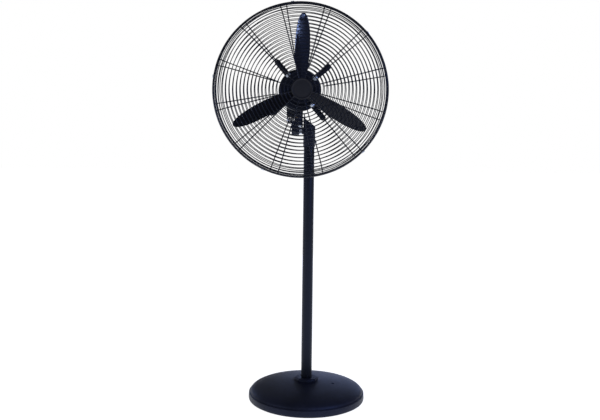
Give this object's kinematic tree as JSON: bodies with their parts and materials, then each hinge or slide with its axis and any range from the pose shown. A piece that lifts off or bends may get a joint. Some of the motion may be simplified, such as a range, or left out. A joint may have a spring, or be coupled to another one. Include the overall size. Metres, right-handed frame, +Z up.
{
  "type": "pedestal fan",
  "caption": "Tall black pedestal fan: round cast base, tube pole, tilting and swinging wire-guarded head with paddle blades.",
  "frame": {"origin": "on the floor, at the middle of the base, on the axis of the pole", "axes": "+Z up the pole; the air blows along -Y, so -Y is the front; +X is to the right seen from the front"},
  "size_m": [0.756, 0.6063, 1.7692],
  "materials": {
    "black_casting": "satin black paint on a cast skin, bluish sheen",
    "black_tube": "semi-gloss black paint",
    "black_wire": "semi-gloss black powder coat",
    "black_diecast": "satin black paint",
    "black_strap": "semi-gloss black powder coat",
    "black_blade": "gloss black paint",
    "zinc_fastener": "bright zinc plate",
    "steel": "machined and oiled",
    "laminated_steel": "stacked sheet, dull",
    "copper_winding": "enamelled copper wire",
    "bronze": "machined bronze",
    "rubber_pad": "matt black rubber",
    "black_plastic": "fine-grained black",
    "pale_plastic": "off-white"
  },
  "bodies": {
    "stand": {"floor_pad": "rubber_pad", "base_casting": "black_casting", "foot_collar": "black_casting", "pole_plug": "steel", "base_bolt": "steel", "pole_tube": "black_tube", "post_head": "black_casting", "post_clamp_screw": "zinc_fastener", "tilt_bolt": "zinc_fastener", "tilt_nut": "steel", "tilt_jam_nut": "zinc_fastener", "tilt_washer": "zinc_fastener"},
    "neck": {"neck_block": "black_casting", "king_pin": "steel", "thrust_washer": "bronze", "king_pin_screw": "zinc_fastener", "link_pin": "steel"},
    "head": {"guard_front": "black_wire", "guard_rear": "black_wire", "motor_front_bell": "black_diecast", "motor_shell": "black_diecast", "motor_rear_bell": "black_diecast", "gearbox_housing": "black_diecast", "gearbox_lid": "black_diecast", "switch_box": "black_diecast", "switch_cover": "black_diecast", "guard_arm_1": "black_strap", "guard_arm_2": "black_strap", "guard_arm_3": "black_strap", "guard_arm_4": "black_strap", "arm_screw_1": "zinc_fastener", "arm_screw_2": "zinc_fastener", "arm_screw_3": "zinc_fastener", "arm_screw_4": "zinc_fastener", "rim_clip_1": "zinc_fastener", "rim_clip_2": "zinc_fastener", "rim_clip_3": "zinc_fastener", "rim_clip_4": "zinc_fastener", "rim_clip_5": "zinc_fastener", "bearing_front": "steel", "bearing_rear": "steel", "stator_core": "laminated_steel", "stator_winding": "copper_winding", "badge": "black_plastic", "cable_gland": "black_plastic", "rotary_switch": "pale_plastic", "run_capacitor": "pale_plastic"},
    "rotor": {"motor_shaft": "steel", "rotor_core": "laminated_steel", "blade_hub": "black_diecast", "hub_nut": "black_diecast", "blade_1": "black_blade", "blade_2": "black_blade", "blade_3": "black_blade"},
    "crank_set": {"worm_wheel": "bronze", "crank": "steel"},
    "link": {"link_rod": "steel"},
    "clutch": {"clutch_knob": "black_plastic"},
    "speed_dial": {"speed_knob": "black_plastic"}
  },
  "joints": [
    {"name": "tilt", "type": "hinge", "parent": "stand", "child": "neck", "pos_m": [-0.063, 0, 1.21], "axis": [1, 0, 0], "range_deg": [-25, 15]},
    {"name": "swing", "type": "hinge", "parent": "neck", "child": "head", "pos_m": [-0.049, 0, 1.275], "axis": [0, 0, 1], "range_deg": [-35, 35]},
    {"name": "rotor_spin", "type": "hinge", "parent": "head", "child": "rotor", "pos_m": [-0.049, -0.1, 1.39], "axis": [0, 1, 0], "continuous": true},
    {"name": "crank_spin", "type": "hinge", "parent": "head", "child": "crank_set", "pos_m": [-0.076, 0.06, 1.39], "axis": [0, 0, 1], "continuous": true},
    {"name": "link_swing", "type": "hinge", "parent": "neck", "child": "link", "pos_m": [-0.085, 0, 1.256], "axis": [0, 0, 1], "range_deg": [-15, 15]},
    {"name": "clutch_pull", "type": "slide", "parent": "head", "child": "clutch", "axis": [0, 0, 1], "range_m": [0, 0.008]},
    {"name": "speed_turn", "type": "hinge", "parent": "head", "child": "speed_dial", "pos_m": [-0.005, 0.075, 1.408], "axis": [0, -1, 0], "range_deg": [0, 135]}
  ],
  "couplings": [
    {"joint": "crank_spin", "follows": "rotor_spin", "ratio": 0.041667}
  ]
}
